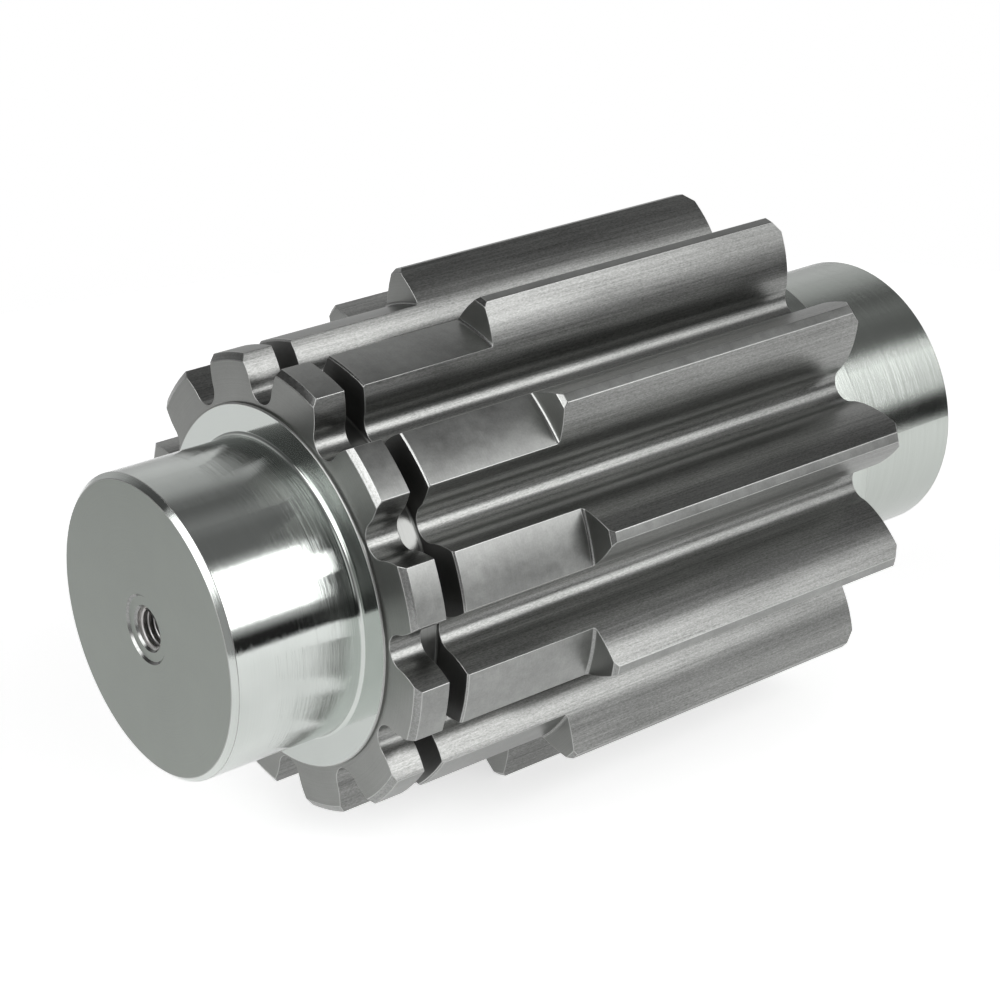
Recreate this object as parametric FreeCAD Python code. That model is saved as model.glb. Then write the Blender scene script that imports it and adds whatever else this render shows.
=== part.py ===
import FreeCAD, Part
import math
import os

# Gearing, with shift, addendum and dedendum in modules
module = 10.0
toothCount = 12
pressureAngle = 20.0
profileShift = 0.5
addendum = 1.0
dedendum = 1.25
pitchRadius = module * toothCount / 2.0
tipRadius = pitchRadius + module * (profileShift + addendum)
rootRadius = pitchRadius + module * (profileShift - dedendum)

# Turned diameters: the step down to the lowered teeth, the groove and collars below the roots
stepHeight = 10.0
collarDrop = 1.0
journalRadius = 42.5
loweredRadius = tipRadius - stepHeight
collarRadius = rootRadius - collarDrop

# Stations along the shaft, measured from its front end
shoulderStation = 40.0
ringStation = 41.0
ringWidth = 10.0
grooveWidth = 6.0
stepStation = 100.0
toothEndStation = 209.5
rearShoulderStation = 217.0
shaftLength = 263.0

# Edge breaks and inside corners
journalChamfer = 1.5
journalCorner = 1.2
collarChamfer = 0.3
ringBevelDepth = 2.0
ringBevelLength = 1.2
loweredChamfer = 0.5
stepCorner = 1.0
tipFrontChamfer = 1.2
tipRearChamfer = 2.6

# Threaded centre hole in the front end: shallow flat recess, countersink, bore at its tapping diameter
recessRadius = 9.8
recessWallWidth = 0.7
recessDepth = 0.6
sinkRadius = 6.6
sinkAngle = 90.0
threadCoreRadius = 5.1
threadDepth = 28.0
drillPointAngle = 118.0

# Clearance that lets a cutter run past the surface it makes
overrun = 1.0
# Each flank is drawn as this many circular arcs, within 0.015 mm of the involute
flankArcs = 3

origin = FreeCAD.Vector(0.0, 0.0, 0.0)
shaftAxis = FreeCAD.Vector(1.0, 0.0, 0.0)


def outlinePoint(station, radius):
    return FreeCAD.Vector(station - shaftLength / 2.0, 0.0, radius)


def line(start, end):
    return Part.LineSegment(start, end).toShape()


def arc(start, middle, end):
    return Part.Arc(start, middle, end).toShape()


# A quarter circle from one outline point to the next, bulging towards the given inside corner
def insideCorner(start, end, corner):
    centre = start + end - corner
    middle = centre + (corner - centre).normalize() * start.distanceToPoint(centre)
    return arc(start, middle, end)


# Joins outline points by straight edges
def chain(points):
    return [line(points[i], points[i + 1]) for i in range(len(points) - 1)]


def spin(edges):
    face = Part.Face(Part.Wire(edges))
    return face.revolve(origin, shaftAxis, 360.0)


# The front journal, from the centre of its end face to the face of its shoulder
def frontJournalOutline():
    journalEnd = outlinePoint(shoulderStation - journalCorner, journalRadius)
    shoulderFoot = outlinePoint(shoulderStation, journalRadius + journalCorner)
    corner = outlinePoint(shoulderStation, journalRadius)
    edges = chain([
        outlinePoint(0.0, 0.0),
        outlinePoint(0.0, journalRadius - journalChamfer),
        outlinePoint(journalChamfer, journalRadius),
        journalEnd,
    ])
    edges.append(insideCorner(journalEnd, shoulderFoot, corner))
    edges.append(line(shoulderFoot, outlinePoint(shoulderStation, collarRadius - collarChamfer)))
    return edges


# The narrow ring in front of the groove, with its bevelled front edge
def ringOutline():
    return chain([
        outlinePoint(shoulderStation, collarRadius - collarChamfer),
        outlinePoint(shoulderStation + collarChamfer, collarRadius),
        outlinePoint(ringStation, collarRadius),
        outlinePoint(ringStation, loweredRadius - ringBevelDepth),
        outlinePoint(ringStation + ringBevelLength, loweredRadius),
        outlinePoint(ringStation + ringWidth, loweredRadius),
        outlinePoint(ringStation + ringWidth, collarRadius),
    ])


# The groove behind the ring, turned a little below the roots of the teeth, and the lowered teeth
# up to the foot of the step
def loweredOutline():
    startStation = ringStation + ringWidth + grooveWidth
    landEnd = outlinePoint(stepStation - stepCorner, loweredRadius)
    stepFoot = outlinePoint(stepStation, loweredRadius + stepCorner)
    edges = chain([
        outlinePoint(ringStation + ringWidth, collarRadius),
        outlinePoint(startStation, collarRadius),
        outlinePoint(startStation, loweredRadius - loweredChamfer),
        outlinePoint(startStation + loweredChamfer, loweredRadius),
        landEnd,
    ])
    edges.append(insideCorner(landEnd, stepFoot, outlinePoint(stepStation, loweredRadius)))
    return edges


# The full height of the teeth, from the step to the collar behind them
def fullHeightOutline():
    return chain([
        outlinePoint(stepStation, loweredRadius + stepCorner),
        outlinePoint(stepStation, tipRadius - tipFrontChamfer),
        outlinePoint(stepStation + tipFrontChamfer, tipRadius),
        outlinePoint(toothEndStation - tipRearChamfer, tipRadius),
        outlinePoint(toothEndStation, tipRadius - tipRearChamfer),
        outlinePoint(toothEndStation, collarRadius),
    ])


# The rear collar and journal, to the centre of the rear end face
def rearJournalOutline():
    collarFoot = outlinePoint(rearShoulderStation, journalRadius + journalCorner)
    journalStart = outlinePoint(rearShoulderStation + journalCorner, journalRadius)
    corner = outlinePoint(rearShoulderStation, journalRadius)
    edges = chain([
        outlinePoint(toothEndStation, collarRadius),
        outlinePoint(rearShoulderStation - collarChamfer, collarRadius),
        outlinePoint(rearShoulderStation, collarRadius - collarChamfer),
        collarFoot,
    ])
    edges.append(insideCorner(collarFoot, journalStart, corner))
    edges += chain([
        journalStart,
        outlinePoint(shaftLength - journalChamfer, journalRadius),
        outlinePoint(shaftLength, journalRadius - journalChamfer),
        outlinePoint(shaftLength, 0.0),
        outlinePoint(0.0, 0.0),
    ])
    return edges


def turnedBlank():
    edges = frontJournalOutline() + ringOutline() + loweredOutline()
    edges += fullHeightOutline() + rearJournalOutline()
    return spin(edges)


def sectionPoint(radius, angle):
    return FreeCAD.Vector(0.0, radius * math.sin(angle), radius * math.cos(angle))


# The round root touches both flanks and the root circle. It leaves each flank at this roll angle.
def rootRoll(baseRadius, spaceHalf):
    low = 0.0
    high = 0.5
    for i in range(40):
        roll = (low + high) / 2.0
        turn = spaceHalf + roll
        deepest = baseRadius / math.cos(turn) - baseRadius * (math.tan(turn) - roll)
        if deepest < rootRadius:
            low = roll
        else:
            high = roll
    return low


# One space between two teeth: involute flanks down to a full round root
def toothSpace():
    rollAngle = math.radians(pressureAngle)
    baseRadius = pitchRadius * math.cos(rollAngle)
    involuteStart = math.tan(rollAngle) - rollAngle
    toothHalf = math.pi / (2.0 * toothCount)
    toothHalf += 2.0 * profileShift * math.tan(rollAngle) / toothCount + involuteStart
    spaceHalf = math.pi / toothCount - toothHalf
    firstRoll = rootRoll(baseRadius, spaceHalf)
    lastRoll = math.sqrt(((tipRadius + overrun) / baseRadius) ** 2 - 1.0)
    flank = []
    for i in range(2 * flankArcs + 1):
        roll = firstRoll + (lastRoll - firstRoll) * i / (2 * flankArcs)
        flank.append(sectionPoint(baseRadius * math.hypot(1.0, roll), spaceHalf + roll - math.atan(roll)))
    outerCorner = FreeCAD.Vector(0.0, flank[-1].y, tipRadius + 2.0 * overrun)
    halfEdges = [arc(flank[2 * i], flank[2 * i + 1], flank[2 * i + 2]) for i in range(flankArcs)]
    halfEdges.append(line(flank[-1], outerCorner))
    mirrored = [edge.mirror(origin, FreeCAD.Vector(0.0, 1.0, 0.0)) for edge in halfEdges]
    otherFoot = FreeCAD.Vector(0.0, -flank[0].y, flank[0].z)
    rootArc = arc(otherFoot, sectionPoint(rootRadius, 0.0), flank[0])
    outerEdge = line(outerCorner, FreeCAD.Vector(0.0, -outerCorner.y, outerCorner.z))
    wire = Part.Wire(Part.__sortEdges__([rootArc] + halfEdges + [outerEdge] + mirrored))
    cutter = Part.Face(wire).extrude(shaftAxis * (toothEndStation - ringStation + 2.0 * overrun))
    cutter.translate(FreeCAD.Vector(ringStation - overrun - shaftLength / 2.0, 0.0, 0.0))
    return cutter


# A tooth space faces straight down, so that the shaft lies on two tooth tips
def toothSpaces():
    spaces = []
    for i in range(toothCount):
        space = toothSpace()
        space.rotate(origin, shaftAxis, 360.0 * i / toothCount)
        spaces.append(space)
    return spaces


# The threaded centre hole, from its recess to the drill point
def centreHole():
    boreStation = recessDepth + (sinkRadius - threadCoreRadius) / math.tan(math.radians(sinkAngle / 2.0))
    boreEnd = boreStation + threadDepth
    pointEnd = boreEnd + threadCoreRadius / math.tan(math.radians(drillPointAngle / 2.0))
    wallSlope = recessWallWidth / recessDepth
    outline = [
        outlinePoint(-overrun, 0.0),
        outlinePoint(-overrun, recessRadius + wallSlope * overrun),
        outlinePoint(recessDepth, recessRadius - recessWallWidth),
        outlinePoint(recessDepth, sinkRadius),
        outlinePoint(boreStation, threadCoreRadius),
        outlinePoint(boreEnd, threadCoreRadius),
        outlinePoint(pointEnd, 0.0),
        outlinePoint(-overrun, 0.0),
    ]
    return spin(chain(outline))


shaft = turnedBlank().cut(toothSpaces())
shaft = shaft.cut(centreHole())
if shaft.ShapeType != "Solid":
    shaft = shaft.Solids[0]

os.makedirs("parts", exist_ok=True)
shaft.exportStep("parts/pinion_shaft.step")
print("pinion_shaft", shaft.isValid(), len(shaft.Faces), round(shaft.Volume))
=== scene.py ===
import bpy
import bmesh
import math
from mathutils import Matrix, Vector


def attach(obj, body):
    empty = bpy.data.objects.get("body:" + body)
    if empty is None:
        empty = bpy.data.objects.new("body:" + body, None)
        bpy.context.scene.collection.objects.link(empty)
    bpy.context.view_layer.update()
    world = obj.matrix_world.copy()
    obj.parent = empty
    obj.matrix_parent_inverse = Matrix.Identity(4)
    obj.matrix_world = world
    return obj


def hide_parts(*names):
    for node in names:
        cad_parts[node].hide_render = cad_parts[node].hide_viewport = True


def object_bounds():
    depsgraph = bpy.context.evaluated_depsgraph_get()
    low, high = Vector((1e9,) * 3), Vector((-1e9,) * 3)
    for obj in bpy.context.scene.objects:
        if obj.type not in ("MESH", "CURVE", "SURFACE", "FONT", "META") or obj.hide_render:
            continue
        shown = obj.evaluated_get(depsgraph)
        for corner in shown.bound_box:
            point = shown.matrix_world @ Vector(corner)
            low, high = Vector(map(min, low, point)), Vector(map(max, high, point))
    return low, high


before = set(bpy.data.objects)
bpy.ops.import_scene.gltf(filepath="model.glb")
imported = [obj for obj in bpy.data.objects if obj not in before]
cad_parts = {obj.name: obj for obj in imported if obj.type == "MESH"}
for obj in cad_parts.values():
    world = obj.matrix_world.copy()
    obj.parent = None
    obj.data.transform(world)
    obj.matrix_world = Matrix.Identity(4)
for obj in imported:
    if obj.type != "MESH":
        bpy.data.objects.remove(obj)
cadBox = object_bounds()

mm = 0.001
tiny = 0.002 * mm
shaftStart = cadBox[0][0]
floorHeight = cadBox[0][2]


# Helpers shared by every part of the shaft
def station(distance):  # along the shaft from its front end, in mm
    return shaftStart + distance * mm


def onRay(x, radius, angle):  # angle from straight up, towards +Y
    return Vector((x, radius * math.sin(angle), radius * math.cos(angle)))


def radiusOf(vert):
    return math.hypot(vert.co.y, vert.co.z)


def angleOf(vert):
    return math.atan2(vert.co.y, vert.co.z)


def newVerts(result, key="geom"):
    return [item for item in result[key] if isinstance(item, bmesh.types.BMVert)]


def newEdges(result, key="geom"):
    return [item for item in result[key] if isinstance(item, bmesh.types.BMEdge)]


def everything(bm):
    return bm.verts[:] + bm.edges[:] + bm.faces[:]


def cornerArc(start, end, corner, steps=3):  # points inside a quarter circle between two outline points
    centre = start + end - corner
    first, last = start - centre, end - centre
    points = []
    for i in range(1, steps):
        turn = math.pi / 2 * i / steps
        points.append(centre + first * math.cos(turn) + last * math.sin(turn))
    return points


# Teeth
teeth = {
    "count": 12,
    "module": 10.0,
    "pressureAngle": 20.0,
    "profileShift": 0.5,
    "tip": 75.0,
    "lowered": 65.0,
    "root": 52.5,
    "ringStart": 41.0,
    "ringEnd": 51.0,
    "ringBevel": (1.2, 2.0),  # along the shaft, down the tooth
    "loweredStart": 57.0,
    "loweredChamfer": 0.5,
    "step": 100.0,
    "stepCorner": 1.0,
    "frontChamfer": 1.2,
    "rearChamfer": 2.6,
    "end": 209.5,
    "flankRows": 14,
    "rootSteps": 16,
    "columns": 8,
    "edgeBreak": 0.15,
    "sharpFrom": 24.0,  # degrees between two faces from which their edge is broken or stays sharp
}

pressure = math.radians(teeth["pressureAngle"])
baseRadius = teeth["module"] * teeth["count"] / 2 * math.cos(pressure)
footHalf = (math.pi / 2 + 2 * teeth["profileShift"] * math.tan(pressure)) / teeth["count"]
footHalf += math.tan(pressure) - pressure
pitchStep = 2 * math.pi / teeth["count"]


def toothHalf(radius):  # half the angle that a tooth spans at a radius in mm
    roll = math.sqrt(max((radius / baseRadius) ** 2 - 1, 0))
    return footHalf - roll + math.atan(roll)


def roundRoot():  # roll angle where the round root leaves the flank, and the centre and radius of its arc
    spaceHalf = pitchStep / 2 - footHalf
    low, high = 0.0, 0.5
    for _ in range(40):
        roll = (low + high) / 2
        centre = baseRadius / math.cos(spaceHalf + roll)
        radius = baseRadius * (math.tan(spaceHalf + roll) - roll)
        low, high = (roll, high) if centre - radius < teeth["root"] else (low, roll)
    return roll, centre, radius


firstRoll, rootCentre, rootArc = roundRoot()
footRadius = baseRadius * math.hypot(1, firstRoll)


def flankRadii():
    lastRoll = math.sqrt((teeth["tip"] / baseRadius) ** 2 - 1)
    rows = []
    for i in range(1, teeth["flankRows"]):
        radius = baseRadius * math.hypot(1, firstRoll + (lastRoll - firstRoll) * i / teeth["flankRows"])
        if abs(radius - teeth["lowered"]) > 0.5 and radius < teeth["tip"] - teeth["rearChamfer"] - 0.4:
            rows.append(radius)
    return rows + [teeth["lowered"]]


# A tooth starts as a flat plate of its side outline. It is thickened, cut into rows and columns, and
# wrapped between its two involute flanks.
def addTooth(bm, outline):
    tooth = bmesh.new()
    plate = tooth.faces.new([tooth.verts.new((station(x), -1, r * mm)) for x, r in outline])
    grown = bmesh.ops.extrude_face_region(tooth, geom=[plate], use_keep_orig=True)
    bmesh.ops.translate(tooth, verts=newVerts(grown), vec=(0, 2, 0))
    rows = [(0, 0, radius * mm) for radius in flankRadii()]
    columns = [(0, 2 * i / teeth["columns"] - 1, 0) for i in range(1, teeth["columns"])]
    for places, normal in ((rows, (0, 0, 1)), (columns, (0, 1, 0))):
        for place in places:
            geom = everything(tooth)
            bmesh.ops.bisect_plane(tooth, geom=geom, dist=tiny, plane_co=place, plane_no=normal)
    foot = [f for f in tooth.faces if all(v.co.z < footRadius * mm + tiny for v in f.verts)]
    bmesh.ops.delete(tooth, geom=foot, context="FACES")
    for vert in tooth.verts:
        radius = vert.co.z
        vert.co = onRay(vert.co.x, radius, pitchStep / 2 + vert.co.y * toothHalf(radius / mm))
    mesh = bpy.data.meshes.new("tooth")
    tooth.to_mesh(mesh)
    tooth.free()
    bm.from_mesh(mesh)
    bpy.data.meshes.remove(mesh)


def ringOutline():
    long, deep = teeth["ringBevel"]
    return [
        (teeth["ringStart"], footRadius),
        (teeth["ringStart"], teeth["lowered"] - deep),
        (teeth["ringStart"] + long, teeth["lowered"]),
        (teeth["ringEnd"], teeth["lowered"]),
        (teeth["ringEnd"], footRadius),
    ]


def mainOutline():
    small, corner = teeth["loweredChamfer"], teeth["stepCorner"]
    land, tip, step = teeth["lowered"], teeth["tip"], teeth["step"]
    start, end = Vector((step - corner, land)), Vector((step, land + corner))
    fillet = cornerArc(start, end, Vector((step, land)), 4)
    return [
        (teeth["loweredStart"], footRadius),
        (teeth["loweredStart"], land - small),
        (teeth["loweredStart"] + small, land),
        (step - corner, land),
        *fillet,
        (step, land + corner),
        (step, tip - teeth["frontChamfer"]),
        (step + teeth["frontChamfer"], tip),
        (teeth["end"] - teeth["rearChamfer"], tip),
        (teeth["end"], tip - teeth["rearChamfer"]),
        (teeth["end"], footRadius),
    ]


def addRoot(bm, start, end):  # the round root of one space: a point spun about the arc's centre
    x = station(start)
    half = pitchStep / 2 - toothHalf(footRadius)
    foot = onRay(x, footRadius * mm, -half)
    centre = onRay(x, rootCentre * mm, 0)
    turn = 2 * math.pi - 2 * (foot - centre).angle(Vector((0, 0, 1)))
    known = set(bm.edges)
    bmesh.ops.spin(bm, geom=[bm.verts.new(foot)], cent=centre, axis=(1, 0, 0), angle=turn,
                   steps=teeth["rootSteps"])
    grown = bmesh.ops.extrude_edge_only(bm, edges=[e for e in bm.edges if e not in known])
    bmesh.ops.translate(bm, verts=newVerts(grown), vec=((end - start) * mm, 0, 0))


def addTeeth(bm):
    addTooth(bm, ringOutline())
    addTooth(bm, mainOutline())
    addRoot(bm, teeth["ringStart"], teeth["ringEnd"])
    addRoot(bm, teeth["loweredStart"], teeth["end"])
    bmesh.ops.spin(bm, geom=everything(bm), cent=(0, 0, 0), axis=(1, 0, 0), use_duplicate=True,
                   angle=2 * math.pi - pitchStep, steps=teeth["count"] - 1)
    bmesh.ops.remove_doubles(bm, verts=bm.verts[:], dist=tiny)


# Turned surfaces, grown from the open loops at the roots of the teeth
turned = {
    "shoulder": 40.0,
    "rearShoulder": 217.0,
    "length": 263.0,
    "journal": 42.5,
    "collar": 51.5,
    "collarChamfer": 0.3,
    "journalChamfer": 1.5,
    "journalCorner": 1.2,
    "grooveCorner": 0.8,
    "frontRing": 25.0,  # rings of edges in the end faces
    "rearRing": 20.0,
    "poleRing": 4.0,
}

centreHole = {
    "clear": 10.0,  # everything of the hole lies within this radius
    "recess": (0.6, 9.8, 9.1),  # depth, radius at the face and at the floor
    "sink": 6.6,
    "major": 6.0,
    "minor": 5.1,
    "pitch": 1.75,
    "depth": 30.1,
    "pointAngle": 118.0,
    "threadStart": 1.1,
    "threadSteps": 32,  # faces in one turn of the thread
    "threadSunk": 0.05,  # how far the ridge's foot goes into the bore's wall
}


def openLoop(bm, distance):
    x = station(distance)
    return [e for e in bm.edges if e.is_boundary and all(abs(v.co.x - x) < tiny for v in e.verts)]


def turnOn(bm, loop, outline):  # carries a loop of edges along an outline of stations and radii
    for distance, radius in outline:
        grown = bmesh.ops.extrude_edge_only(bm, edges=loop)
        loop = newEdges(grown)
        for vert in newVerts(grown):
            vert.co = onRay(station(distance), radius * mm, angleOf(vert))
    return loop


def grooveOutline():
    near, far = teeth["ringEnd"], teeth["loweredStart"]
    floor, corner = turned["collar"], turned["grooveCorner"]
    nearWall, nearFloor = Vector((near, floor + corner)), Vector((near + corner, floor))
    farFloor, farWall = Vector((far - corner, floor)), Vector((far, floor + corner))
    first = cornerArc(nearWall, nearFloor, Vector((near, floor)))
    second = cornerArc(farFloor, farWall, Vector((far, floor)))
    return [nearWall, *first, nearFloor, farFloor, *second, farWall]


def shoulderFillet(side):  # at the foot of a shoulder, towards the front (-1) or the rear (1)
    shoulder = turned["shoulder"] if side < 0 else turned["rearShoulder"]
    journal, corner = turned["journal"], turned["journalCorner"]
    onFace, onJournal = Vector((shoulder, journal + corner)), Vector((shoulder + side * corner, journal))
    return [onFace, *cornerArc(onFace, onJournal, Vector((shoulder, journal)), 5), onJournal]


def frontOutline():
    shoulder, journal = turned["shoulder"], turned["journal"]
    collar, small = turned["collar"], turned["collarChamfer"]
    depth, outer, inner = centreHole["recess"]
    return [
        (teeth["ringStart"], collar),
        (shoulder + small, collar),
        (shoulder, collar - small),
        *shoulderFillet(-1),
        (turned["journalChamfer"], journal),
        (0, journal - turned["journalChamfer"]),
        (0, turned["frontRing"]),
        (0, outer),
        (depth, inner),
        (depth, centreHole["sink"]),
        (depth + centreHole["sink"] - centreHole["major"], centreHole["major"]),
        (centreHole["depth"], centreHole["major"]),
        (centreHole["depth"], centreHole["minor"]),
    ]


def rearOutline():
    shoulder, journal, length = turned["rearShoulder"], turned["journal"], turned["length"]
    collar, small = turned["collar"], turned["collarChamfer"]
    return [
        (teeth["end"], collar),
        (shoulder - small, collar),
        (shoulder, collar - small),
        *shoulderFillet(1),
        (length - turned["journalChamfer"], journal),
        (length, journal - turned["journalChamfer"]),
        (length, turned["rearRing"]),
        (length, turned["poleRing"]),
    ]


def closePole(bm, loop, distance):
    grown = bmesh.ops.extrude_edge_only(bm, edges=loop)
    bmesh.ops.pointmerge(bm, verts=newVerts(grown), merge_co=(station(distance), 0, 0))


def addTurnedParts(bm):
    pointDepth = centreHole["minor"] / math.tan(math.radians(centreHole["pointAngle"] / 2))
    hole = turnOn(bm, openLoop(bm, teeth["ringStart"]), frontOutline())
    closePole(bm, hole, centreHole["depth"] + pointDepth)
    farWall = openLoop(bm, teeth["loweredStart"])
    turnOn(bm, openLoop(bm, teeth["ringEnd"]), grooveOutline())
    turnOn(bm, farWall, grooveOutline()[-1:])
    rear = turnOn(bm, openLoop(bm, teeth["end"]), rearOutline())
    closePole(bm, rear, turned["length"])
    bmesh.ops.remove_doubles(bm, verts=bm.verts[:], dist=tiny)


# A small rounding on every outside edge, as deburring leaves it. Inside corners stay sharp.
def breakEdges(bm):
    limit = math.radians(teeth["sharpFrom"])
    outside = []
    for edge in bm.edges:
        inBore = all(radiusOf(v) < centreHole["clear"] * mm and v.co.x < 0 for v in edge.verts)
        if edge.is_manifold and edge.calc_face_angle_signed() > limit and not inBore:
            outside.append(edge)
    rounded = bmesh.ops.bevel(bm, geom=outside, affect="EDGES", offset=teeth["edgeBreak"] * mm,
                              offset_type="OFFSET", segments=2, profile=0.5, material=-1,
                              clamp_overlap=False, loop_slide=False)
    broken = set(rounded["faces"])
    for edge in bm.edges:
        if edge.is_manifold and edge.calc_face_angle() > limit and not broken.intersection(edge.link_faces):
            edge.smooth = False
    return broken


# Thread in the centre hole: one ridge wound along the bore, cut off by the countersink
def addThread(bm):
    minor, pitch, steps = centreHole["minor"], centreHole["pitch"], centreHole["threadSteps"]
    buried = centreHole["major"] + centreHole["threadSunk"]
    first = centreHole["threadStart"]
    turns = int((centreHole["depth"] - first) / pitch) - 1
    foot, crest = pitch * 7 / 16, pitch / 8
    section = [(-foot, buried), (-crest, minor), (crest, minor), (foot, buried)]
    ridge = bmesh.new()
    face = ridge.faces.new([ridge.verts.new(onRay(station(first + x), r * mm, 0)) for x, r in section])
    bmesh.ops.spin(ridge, geom=[face], cent=(0, 0, 0), axis=(1, 0, 0), angle=2 * math.pi * turns,
                   steps=steps * turns, dvec=(pitch / steps * mm, 0, 0))
    for vert in ridge.verts:
        sinkWall = (centreHole["sink"] + centreHole["recess"][0]) * mm - (vert.co.x - shaftStart)
        radius = min(max(radiusOf(vert), sinkWall), buried * mm)
        vert.co = onRay(vert.co.x, radius, angleOf(vert))
    bmesh.ops.recalc_face_normals(ridge, faces=ridge.faces[:])
    mesh = bpy.data.meshes.new("ridge")
    ridge.to_mesh(mesh)
    ridge.free()
    bm.from_mesh(mesh)
    bpy.data.meshes.remove(mesh)


finishes = [
    "groundJournal", "facedEnd", "shoulderFace", "ringFace", "turnedLand", "toothFlank",
    "chamfer", "grooveWall", "grooveFloor", "brokenEdge", "tappedHole",
]

# How a face's middle and direction decide its finish, in mm and as the cosine of an angle
finishLimits = {
    "near": 0.05,  # still on the surface
    "flat": 0.9,  # faces along the shaft at least this much
    "round": 0.95,  # faces away from the axis at least this much
    "sloping": 0.4,  # a bevel faces both ways at least this much
    "land": 0.5,  # how far a land's middle may lie below the tops of the lowered teeth
    "bevel": 2.2,  # and a bevel's
    "groove": 0.3,  # the groove's walls lie at least this far below them
    "sinkEnd": 1.25,  # depth at which the countersink ends
    "pointLength": 4.0,  # the drill point's, at the end of the hole
}


def finishOf(face):
    centre = face.calc_center_median()
    x, radius = (centre.x - shaftStart) / mm, math.hypot(centre.y, centre.z) / mm
    axial = abs(face.normal.x)
    outward = (face.normal.y * centre.y + face.normal.z * centre.z) / math.hypot(centre.y, centre.z)
    near, flat, sloping = finishLimits["near"], finishLimits["flat"], finishLimits["sloping"]
    holeEnd = centreHole["depth"] + finishLimits["pointLength"]
    if radius < centreHole["sink"] and x < holeEnd:
        inSink = x < finishLimits["sinkEnd"] and axial > 0.5
        return "chamfer" if inSink else "tappedHole"
    if radius < turned["journal"] + near:
        if axial > flat:
            return "facedEnd"
        return "chamfer" if radius < centreHole["clear"] else "groundJournal"
    if x < turned["shoulder"] + near or x > teeth["end"] + near:
        return "shoulderFace" if axial > flat else "groundJournal"
    inGroove = teeth["ringEnd"] - near < x < teeth["loweredStart"] + near
    if inGroove and radius < teeth["lowered"] - finishLimits["groove"]:
        onFloor = outward > 0.5 and radius < turned["collar"] + turned["grooveCorner"] - 0.2
        return "grooveFloor" if onFloor else "grooveWall"
    if axial > flat or x < teeth["ringStart"] - near:
        return "ringFace"
    if radius > teeth["lowered"] - finishLimits["bevel"] and outward > sloping and axial > sloping:
        return "chamfer"
    if outward > finishLimits["round"] and radius > teeth["lowered"] - finishLimits["land"]:
        return "turnedLand"
    return "toothFlank"


def buildShaft():
    bm = bmesh.new()
    addTeeth(bm)
    addTurnedParts(bm)
    bmesh.ops.recalc_face_normals(bm, faces=bm.faces[:])
    broken = breakEdges(bm)
    openEdges = sum(not e.is_manifold for e in bm.edges)
    addThread(bm)
    for face in bm.faces:
        face.smooth = True
        face.material_index = finishes.index("brokenEdge" if face in broken else finishOf(face))
    mesh = bpy.data.meshes.new("pinionShaft")
    bm.to_mesh(mesh)
    triangles = sum(len(f.verts) - 2 for f in bm.faces)
    bm.free()
    shaft = bpy.data.objects.new("pinionShaft", mesh)
    bpy.context.scene.collection.objects.link(shaft)
    weighted = shaft.modifiers.new("flatFaces", "WEIGHTED_NORMAL")
    weighted.weight = 60
    weighted.keep_sharp = True
    print("shaft", triangles, "triangles,", openEdges, "open edges")
    return shaft


shaft = buildShaft()


# Shader maths: a socket that takes part in plain expressions
class Signal:
    def __init__(self, shader, socket):
        self.shader, self.socket = shader, socket

    def maths(self, operation, *values):
        return self.shader.node("ShaderNodeMath", {"operation": operation}, dict(enumerate(values)))

    def __add__(self, other):
        return self.maths("ADD", self, other)

    def __radd__(self, other):
        return self.maths("ADD", other, self)

    def __sub__(self, other):
        return self.maths("SUBTRACT", self, other)

    def __rsub__(self, other):
        return self.maths("SUBTRACT", other, self)

    def __mul__(self, other):
        return self.maths("MULTIPLY", self, other)

    def __rmul__(self, other):
        return self.maths("MULTIPLY", other, self)

    def most(self, other):
        return self.maths("MAXIMUM", self, other)


class Shader:
    def __init__(self, tree):
        self.tree = tree
        tree.nodes.clear()

    # Adds a node: its settings first, then the values or links of its sockets
    def node(self, kind, settings=None, inputs=None, output=0):
        made = self.tree.nodes.new(kind)
        for name, value in (settings or {}).items():
            if name == "stops":
                self.setStops(made.color_ramp, value)
            else:
                setattr(made, name, value)
        for key, value in (inputs or {}).items():
            if isinstance(value, Signal):
                self.tree.links.new(value.socket, made.inputs[key])
            else:
                made.inputs[key].default_value = value
        return Signal(self, made.outputs[output]) if made.outputs else made

    def setStops(self, ramp, stops):
        while len(ramp.elements) < len(stops):
            ramp.elements.new(1.0)
        for element, (place, level) in zip(ramp.elements, stops):
            element.position = place
            element.color = colour(level, level, level)

    def place(self, scale=(1, 1, 1), offset=(0, 0, 0)):  # object coordinates in mm, stretched
        coordinates = self.node("ShaderNodeTexCoord", output="Object")
        perMillimetre = tuple(value / mm for value in scale)
        values = {"Vector": coordinates, "Location": offset, "Scale": perMillimetre}
        return self.node("ShaderNodeMapping", None, values)

    def noise(self, vector, detail=3.0, rough=0.55):
        values = {"Vector": vector, "Scale": 1.0, "Detail": detail, "Roughness": rough}
        return self.node("ShaderNodeTexNoise", {"noise_dimensions": "3D"}, values)

    def spread(self, value, low, high, toLow=0.0, toHigh=1.0):
        values = {"Value": value, "From Min": low, "From Max": high, "To Min": toLow, "To Max": toHigh}
        return self.node("ShaderNodeMapRange", {"clamp": True}, values)

    def blend(self, factor, first, second):
        return self.node("ShaderNodeMix", {"data_type": "RGBA"}, {0: factor, 6: first, 7: second}, output=2)

    def bump(self, height, depth):
        values = {"Height": height, "Distance": depth * mm, "Strength": 1.0}
        return self.node("ShaderNodeBump", None, values)

    def shade(self, height, low, high, finish):  # from the finish's dark to its light colour
        return self.blend(self.spread(height, low, high), finish["dark"], finish["light"])


def colour(r, g, b):
    return (r, g, b, 1.0)


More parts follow.
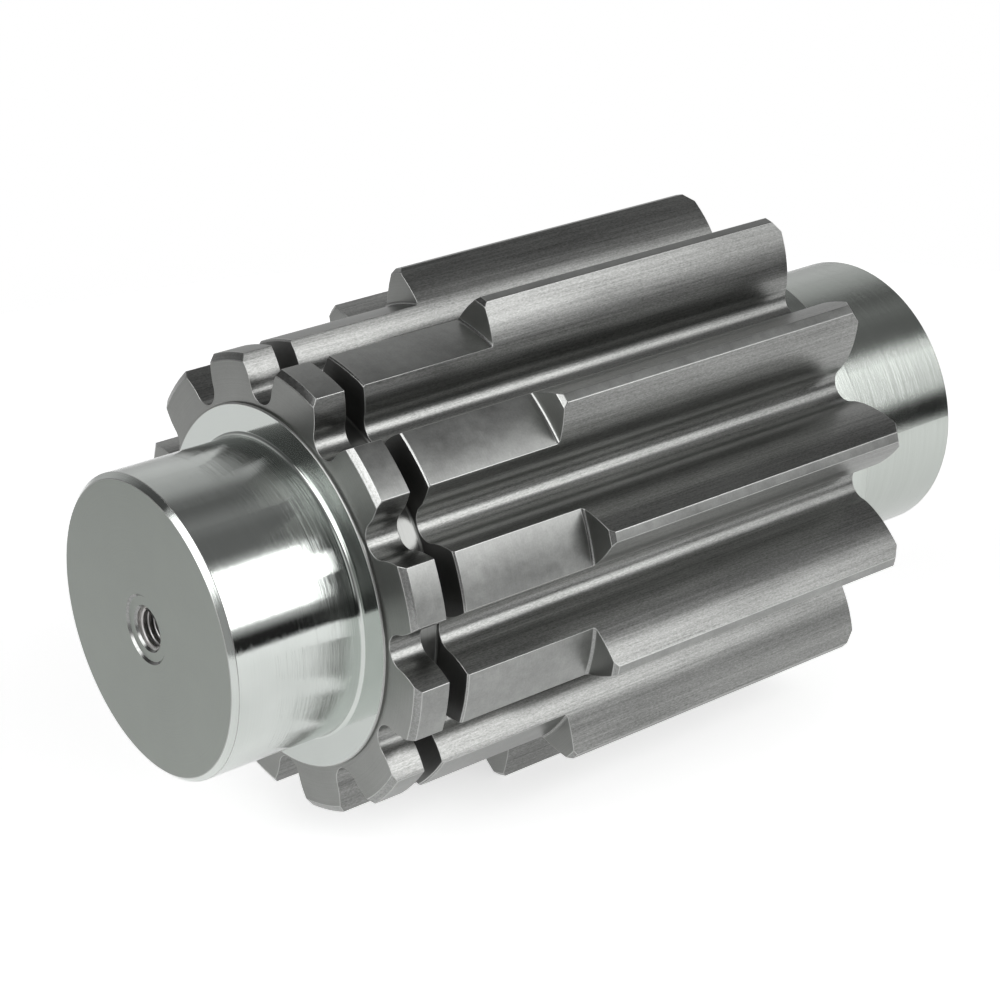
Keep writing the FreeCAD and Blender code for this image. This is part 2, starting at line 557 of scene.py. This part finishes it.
def steel(name, build):
    material = bpy.data.materials.new(name)
    material.use_nodes = True
    shader = Shader(material.node_tree)
    surface = shader.node("ShaderNodeBsdfPrincipled", None, {"Metallic": 1.0, **build(shader)})
    shader.node("ShaderNodeOutputMaterial", None, {"Surface": surface})
    return material


journalFinish = {
    "light": colour(0.66, 0.69, 0.665),
    "dark": colour(0.59, 0.62, 0.595),
    # painted shade: the rear journal is coloured darker, because less light reaches it there
    "rear": colour(0.50, 0.53, 0.50),
    "roughness": 0.035,
    "rearRoughness": 0.14,
    "rearFrom": (60.0, 85.0),  # ahead of the first the front finish, behind the second the rear one
    "depth": 0.03,
}


# Fine grinding scratches run round the shaft and smear what it mirrors along its length. The rear
# journal is ground a little coarser, and its darker rear colour is painted shade.
def groundJournal(shader):
    scratches = shader.noise(shader.place((9.0, 0.02, 0.02)), 3.0, 0.6)
    clouds = shader.noise(shader.place((0.06, 0.05, 0.05)), 2.0)
    coarse = shader.noise(shader.place((1.3, 0.03, 0.03), (7, 3, 1)), 3.0, 0.7)
    along = shader.node("ShaderNodeSeparateXYZ", None, {0: shader.place()})
    atRear = shader.spread(along, *journalFinish["rearFrom"])
    front = shader.shade(scratches * 0.5 + clouds * 0.8, 0.45, 0.85, journalFinish)
    roughness = (1 - atRear) * journalFinish["roughness"] + atRear * journalFinish["rearRoughness"]
    wear = 0.03 * shader.spread(clouds, 0.4, 0.6) + 0.05 * shader.spread(coarse, 0.58, 0.75)
    # painted shade: blends into the darker rear colour behind the teeth, varied by random noise
    rearShadeShare = atRear * shader.spread(coarse, 0.2, 0.6, 0.7, 1.0)
    return {
        "Base Color": shader.blend(rearShadeShare, front, journalFinish["rear"]),
        "Roughness": roughness + wear,
        "Normal": shader.bump(scratches + coarse * 0.05, journalFinish["depth"]),
    }


faceFinish = {
    "light": colour(0.335, 0.358, 0.332),
    "dark": colour(0.285, 0.305, 0.283),
    "roughness": 0.38,
    "depth": 0.004,
}


def facedRings(shader, finish):  # turning marks in rings about the axis
    values = {0: shader.place(), 1: (0, 1, 1)}
    across = shader.node("ShaderNodeVectorMath", {"operation": "MULTIPLY"}, values)
    radius = shader.node("ShaderNodeVectorMath", {"operation": "LENGTH"}, {0: across}, output="Value")
    outwards = shader.node("ShaderNodeCombineXYZ", None, {0: radius * 2.5, 1: 0.0, 2: 0.0})
    rings = shader.noise(outwards, 4.0, 0.7)
    clouds = shader.noise(shader.place((0.05, 0.05, 0.05)))
    grain = shader.noise(shader.place((3, 3, 3)), 2.0)
    return {
        "Base Color": shader.shade(rings * 0.5 + clouds * 0.6 + grain * 0.2, 0.4, 0.9, finish),
        "Roughness": finish["roughness"] + 0.08 * clouds,
        "Normal": shader.bump(rings + grain * 0.3, finish["depth"]),
    }


def facedEnd(shader):
    return facedRings(shader, faceFinish)


shoulderFinish = {
    "light": colour(0.60, 0.63, 0.605),
    "dark": colour(0.56, 0.59, 0.57),
    "roughness": 0.05,
    "depth": 0.0004,
}


def shoulderFace(shader):
    return facedRings(shader, shoulderFinish)


ringFinish = {
    "light": colour(0.33, 0.335, 0.325),
    "dark": colour(0.22, 0.225, 0.215),
    "roughness": 0.30,
    "depth": 0.003,
}


def ringFace(shader):
    return facedRings(shader, ringFinish)


landFinish = {
    "light": colour(0.375, 0.381, 0.371),
    "dark": colour(0.26, 0.264, 0.257),
    "roughness": 0.26,
    "depth": 0.010,
}


def turnedLand(shader):  # turning marks run round the shaft
    lines = shader.noise(shader.place((4.0, 0.01, 0.01)), 4.0, 0.65)
    clouds = shader.noise(shader.place((0.05, 0.07, 0.07)))
    stains = shader.noise(shader.place((0.3, 0.3, 0.3), (3, 5, 2)), 4.0, 0.65)
    grain = shader.noise(shader.place((1.8, 1.8, 1.8)), 3.0, 0.7)
    height = lines * 0.2 + clouds * 0.7 + stains * 0.6 + grain * 0.4
    return {
        "Base Color": shader.shade(height, 0.75, 1.2, landFinish),
        "Roughness": landFinish["roughness"] + 0.1 * clouds + 0.14 * stains,
        "Normal": shader.bump(lines * 0.6 + grain * 0.6, landFinish["depth"]),
    }


flankFinish = {
    "light": colour(0.41, 0.414, 0.403),
    "dark": colour(0.125, 0.127, 0.123),
    "roughness": 0.235,
    "depth": 0.017,
}


def toothFlank(shader):  # cutting marks run along the teeth
    lines = shader.noise(shader.place((0.02, 1.7, 1.7)), 5.0, 0.75)
    clouds = shader.noise(shader.place((0.02, 0.09, 0.09)))
    grain = shader.noise(shader.place((1.1, 3.2, 3.2)), 3.0, 0.7)
    return {
        "Base Color": shader.shade(lines * 0.55 + clouds * 0.25 + grain * 0.6, 0.48, 0.92, flankFinish),
        "Roughness": flankFinish["roughness"] + 0.06 * clouds + 0.10 * lines,
        "Normal": shader.bump(lines + grain * 0.5, flankFinish["depth"]),
    }


chamferFinish = {
    "light": colour(0.36, 0.365, 0.357),
    "dark": colour(0.23, 0.233, 0.227),
    "roughness": 0.15,
    "depth": 0.004,
}


def chamfer(shader):  # turned bevels and chamfers, brighter than the lands
    lines = shader.noise(shader.place((3.0, 0.02, 0.02)), 3.0, 0.6)
    grain = shader.noise(shader.place((1.6, 1.6, 1.6)))
    return {
        "Base Color": shader.shade(lines * 0.4 + grain * 0.6, 0.35, 0.65, chamferFinish),
        "Roughness": chamferFinish["roughness"] + 0.10 * grain,
        "Normal": shader.bump(lines + grain * 0.5, chamferFinish["depth"]),
    }


# painted shade: the groove walls are coloured darker than the ring faces, for the shade inside the groove
shadedWallFinish = {
    "light": colour(0.24, 0.24, 0.235),
    "dark": colour(0.15, 0.15, 0.148),
    "roughness": 0.40,
    "depth": 0.004,
}


def grooveWall(shader):
    return facedRings(shader, shadedWallFinish)


grooveFinish = {
    "light": colour(0.27, 0.273, 0.265),
    "dark": colour(0.20, 0.203, 0.197),
    "roughness": 0.26,
    "depth": 0.003,
}


def grooveFloor(shader):
    marks = shader.noise(shader.place((2.0, 0.05, 0.05)), 4.0)
    return {
        "Base Color": shader.blend(marks, grooveFinish["dark"], grooveFinish["light"]),
        "Roughness": grooveFinish["roughness"] + 0.1 * marks,
        "Normal": shader.bump(marks, grooveFinish["depth"]),
    }


# painted highlight: the broken edges are coloured lighter than the faces beside them, for light lines along
# the edges
edgeHighlightFinish = {
    "light": colour(0.56, 0.565, 0.555),
    "dark": colour(0.38, 0.385, 0.375),
    "roughness": 0.26,
}


def brokenEdge(shader):
    marks = shader.noise(shader.place((0.4, 0.4, 0.4)))
    return {
        "Base Color": shader.blend(marks, edgeHighlightFinish["dark"], edgeHighlightFinish["light"]),
        "Roughness": edgeHighlightFinish["roughness"] + 0.15 * marks,
    }


# painted light: the centre hole and its thread are coloured much lighter than the end face, for light
# reaching inside the hole
litHoleFinish = {
    "light": colour(0.66, 0.65, 0.635),
    "dark": colour(0.48, 0.47, 0.46),
    "roughness": 0.40,
    "depth": 0.006,
}


def tappedHole(shader):
    marks = shader.noise(shader.place((1.5, 1.5, 1.5)), 4.0)
    return {
        "Base Color": shader.blend(marks, litHoleFinish["dark"], litHoleFinish["light"]),
        "Roughness": litHoleFinish["roughness"] + 0.14 * marks,
        "Normal": shader.bump(marks, litHoleFinish["depth"]),
    }


builders = [
    groundJournal, facedEnd, shoulderFace, ringFace, turnedLand, toothFlank,
    chamfer, grooveWall, grooveFloor, brokenEdge, tappedHole,
]
for name, build in zip(finishes, builders):
    shaft.data.materials.append(steel(name, build))
print("finishes", len(finishes))

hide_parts("pinion_shaft")
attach(shaft, "root")


# The studio: a white table, a surround whose brightness changes round the shaft's axis, and one soft lamp
studio = {
    "tableRadius": 0.48,
    "tableSides": 128,
    "tableColour": colour(0.80, 0.80, 0.80),
    "glowSeen": 0.62,  # the table's own light, to the camera and in mirrors
    "glowMirrored": 0.45,
    "turnover": (-0.5, 0.0),  # the surround is "before" ahead of the first, "behind" past the second
    # brightness by angle round the axis, from straight down over the camera side and the top to the back
    "behind": [
        (-180, 0.10), (-103, 0.02), (-90, 0.02), (-82, 0.80), (-60, 1.0), (-46, 1.25),
        (-40, 0.75), (-33, 0.16), (-14, 0.15), (-3, 0.26), (9, 0.13), (21, 0.15),
        (33, 0.42), (45, 0.50), (69, 0.66), (93, 0.45), (105, 0.85), (180, 0.9),
    ],
    "before": [
        (-180, 0.10), (-100, 0.02), (-45, 0.03), (-30, 0.30), (0, 0.36),
        (30, 0.08), (60, 0.08), (93, 0.20), (108, 0.45), (180, 0.5),
    ],
    "spots": [
        {"towards": (-0.85, 0.02, 0.45), "level": 2.8, "inner": 17, "outer": 27},
        {"towards": (-1.0, -0.2, 0.0), "level": 0.35, "inner": 28, "outer": 43},
    ],
    "lamp": {"angle": -61, "distance": 0.80, "from": 0.12, "to": 0.57, "height": 0.58, "radiance": 2.6},
}


def cameraRay(shader):
    return shader.node("ShaderNodeLightPath", output="Is Camera Ray")


def mirrorRay(shader):  # rays in mirrors and through glass
    glossy = shader.node("ShaderNodeLightPath", output="Is Glossy Ray")
    return glossy.most(shader.node("ShaderNodeLightPath", output="Is Transmission Ray"))


def between(inner, outer):  # cosines of two angles from a spot's middle
    return math.cos(math.radians(outer)), math.cos(math.radians(inner))


def makeSurround():
    world = bpy.data.worlds.new("studio")
    world.use_nodes = True
    shader = Shader(world.node_tree)
    direction = shader.node("ShaderNodeTexCoord", output="Generated")
    parts = shader.node("ShaderNodeSeparateXYZ", None, {0: direction}).socket.node
    x, y, z = (Signal(shader, parts.outputs[i]) for i in range(3))
    turn = y.maths("ARCTAN2", y, z) * (1 / (2 * math.pi)) + 0.5
    bands = []
    for side in ("before", "behind"):
        stops = [((angle + 180) / 360, level) for angle, level in studio[side]]
        bands.append(shader.node("ShaderNodeValToRGB", {"stops": stops}, {0: turn}))
    level = shader.blend(shader.spread(x, *studio["turnover"]), bands[0], bands[1])
    for spot in studio["spots"]:
        aim = tuple(Vector(spot["towards"]).normalized())
        settings, values = {"operation": "DOT_PRODUCT"}, {0: direction, 1: aim}
        near = shader.node("ShaderNodeVectorMath", settings, values, output="Value")
        level = level + spot["level"] * shader.spread(near, *between(spot["inner"], spot["outer"]))
    light = shader.node("ShaderNodeBackground", None, {"Color": level, "Strength": 1.0})
    white = shader.node("ShaderNodeBackground", None, {"Color": colour(1, 1, 1), "Strength": 1.0})
    mixed = shader.node("ShaderNodeMixShader", None, {0: cameraRay(shader), 1: light, 2: white})
    shader.node("ShaderNodeOutputWorld", None, {"Surface": mixed})
    bpy.context.scene.world = world


def makeTable():
    bm = bmesh.new()
    bmesh.ops.create_circle(bm, cap_ends=True, segments=studio["tableSides"], radius=studio["tableRadius"])
    bmesh.ops.translate(bm, verts=bm.verts[:], vec=(0, 0, floorHeight))
    mesh = bpy.data.meshes.new("table")
    bm.to_mesh(mesh)
    bm.free()
    table = bpy.data.objects.new("table", mesh)
    bpy.context.scene.collection.objects.link(table)
    material = bpy.data.materials.new("tablePaint")
    material.use_nodes = True
    shader = Shader(material.node_tree)
    paint = shader.node("ShaderNodeBsdfDiffuse", None, {"Color": studio["tableColour"]})
    surface = paint
    glows = ((cameraRay(shader), studio["glowSeen"]), (mirrorRay(shader), studio["glowMirrored"]))
    for seen, glow in glows:
        shine = shader.node("ShaderNodeEmission", None, {"Color": colour(1, 1, 1), "Strength": glow})
        lit = shader.node("ShaderNodeAddShader", None, {0: paint, 1: shine})
        surface = shader.node("ShaderNodeMixShader", None, {0: seen, 1: surface, 2: lit})
    shader.node("ShaderNodeOutputMaterial", None, {"Surface": surface})
    mesh.materials.append(material)


def makeLamp():
    lamp = studio["lamp"]
    data = bpy.data.lights.new("softLamp", "AREA")
    data.shape = "RECTANGLE"
    data.size, data.size_y = lamp["to"] - lamp["from"], lamp["height"]
    data.energy = lamp["radiance"] * math.pi * data.size * data.size_y
    holder = bpy.data.objects.new("softLamp", data)
    bpy.context.scene.collection.objects.link(holder)
    holder.location = onRay((lamp["from"] + lamp["to"]) / 2, lamp["distance"], math.radians(lamp["angle"]))
    towardsAxis = Vector((0, -holder.location.y, -holder.location.z))
    holder.rotation_euler = towardsAxis.to_track_quat("-Z", "Y").to_euler()
    holder.visible_camera = False


makeSurround()
makeTable()
makeLamp()
print("studio")


view = {
    "location": (-0.43018, -0.54279, 0.28503),
    "aim": (-0.00784, 0.00601, -0.00005),
    "roll": -2.17,
    "lens": 92.49,
}


def makeCamera():
    data = bpy.data.cameras.new("camera")
    data.lens = view["lens"]
    data.sensor_width = 36
    data.clip_start, data.clip_end = 0.01, 50
    camera = bpy.data.objects.new("camera", data)
    bpy.context.scene.collection.objects.link(camera)
    camera.location = view["location"]
    towards = Vector(view["aim"]) - camera.location
    roll = Matrix.Rotation(math.radians(view["roll"]), 3, "Z")
    turn = towards.to_track_quat("-Z", "Y").to_matrix() @ roll
    camera.rotation_euler = turn.to_euler()
    bpy.context.scene.camera = camera


makeCamera()
bpy.context.scene.view_settings.view_transform = "Standard"

bpy.context.view_layer.update()
